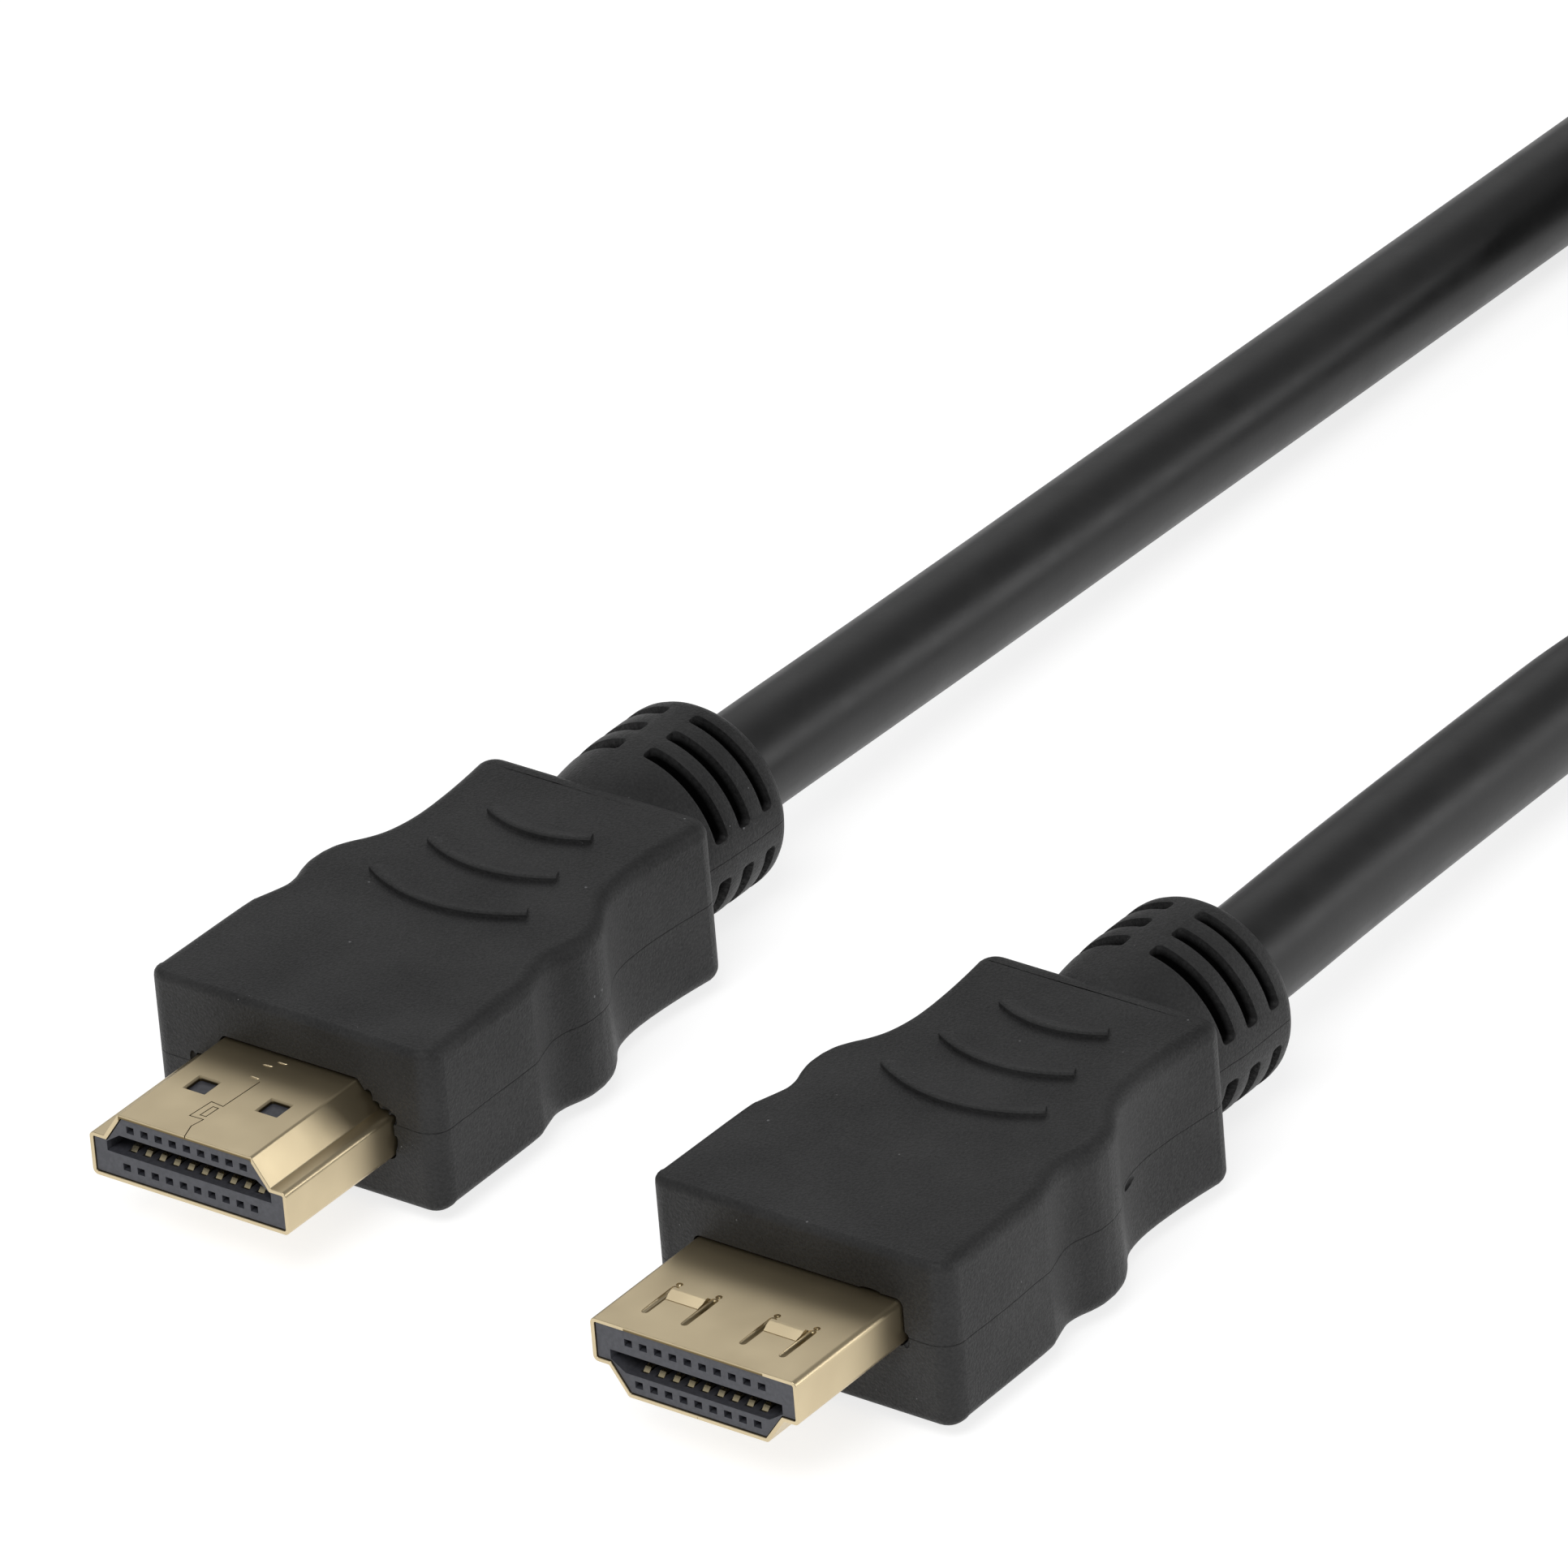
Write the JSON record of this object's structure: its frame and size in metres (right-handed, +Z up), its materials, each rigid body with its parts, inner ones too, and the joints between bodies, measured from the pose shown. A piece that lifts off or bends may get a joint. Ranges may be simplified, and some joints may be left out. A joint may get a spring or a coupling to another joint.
{
  "type": "audio video cable with two plugs",
  "caption": "Round black audio and video cable with a moulded plug on each end: gold D-shaped shells, slotted strain reliefs and grip ridges, spare length coiled and tied.",
  "frame": {"origin": "bottom centre of the box around the two plugs, on the surface they lie on", "axes": "+Z up, the mating faces look towards -Y, +X to the right as seen from the front"},
  "size_m": [0.0998, 0.2166, 0.0145],
  "materials": {
    "shell": "satin pale gold plating",
    "contact_block": "slate grey moulded plastic",
    "contacts": "bright gold plating",
    "boot": "black, fine spark-eroded grain",
    "cable": "black, smooth satin jacket",
    "tie": "black woven strap"
  },
  "bodies": {
    "root": {"left_shell": "shell", "left_contact_block": "contact_block", "left_boot": "boot", "left_wide_contact_1": "contacts", "left_wide_contact_2": "contacts", "left_wide_contact_3": "contacts", "left_wide_contact_4": "contacts", "left_wide_contact_5": "contacts", "left_wide_contact_6": "contacts", "left_wide_contact_7": "contacts", "left_wide_contact_8": "contacts", "left_wide_contact_9": "contacts", "left_wide_contact_10": "contacts", "left_narrow_contact_1": "contacts", "left_narrow_contact_2": "contacts", "left_narrow_contact_3": "contacts", "left_narrow_contact_4": "contacts", "left_narrow_contact_5": "contacts", "left_narrow_contact_6": "contacts", "left_narrow_contact_7": "contacts", "left_narrow_contact_8": "contacts", "left_narrow_contact_9": "contacts", "right_shell": "shell", "right_contact_block": "contact_block", "right_boot": "boot", "right_wide_contact_1": "contacts", "right_wide_contact_2": "contacts", "right_wide_contact_3": "contacts", "right_wide_contact_4": "contacts", "right_wide_contact_5": "contacts", "right_wide_contact_6": "contacts", "right_wide_contact_7": "contacts", "right_wide_contact_8": "contacts", "right_wide_contact_9": "contacts", "right_wide_contact_10": "contacts", "right_narrow_contact_1": "contacts", "right_narrow_contact_2": "contacts", "right_narrow_contact_3": "contacts", "right_narrow_contact_4": "contacts", "right_narrow_contact_5": "contacts", "right_narrow_contact_6": "contacts", "right_narrow_contact_7": "contacts", "right_narrow_contact_8": "contacts", "right_narrow_contact_9": "contacts", "left_lead": "cable", "right_lead": "cable", "coil": "cable", "tie": "tie"}
  },
  "joints": []
}
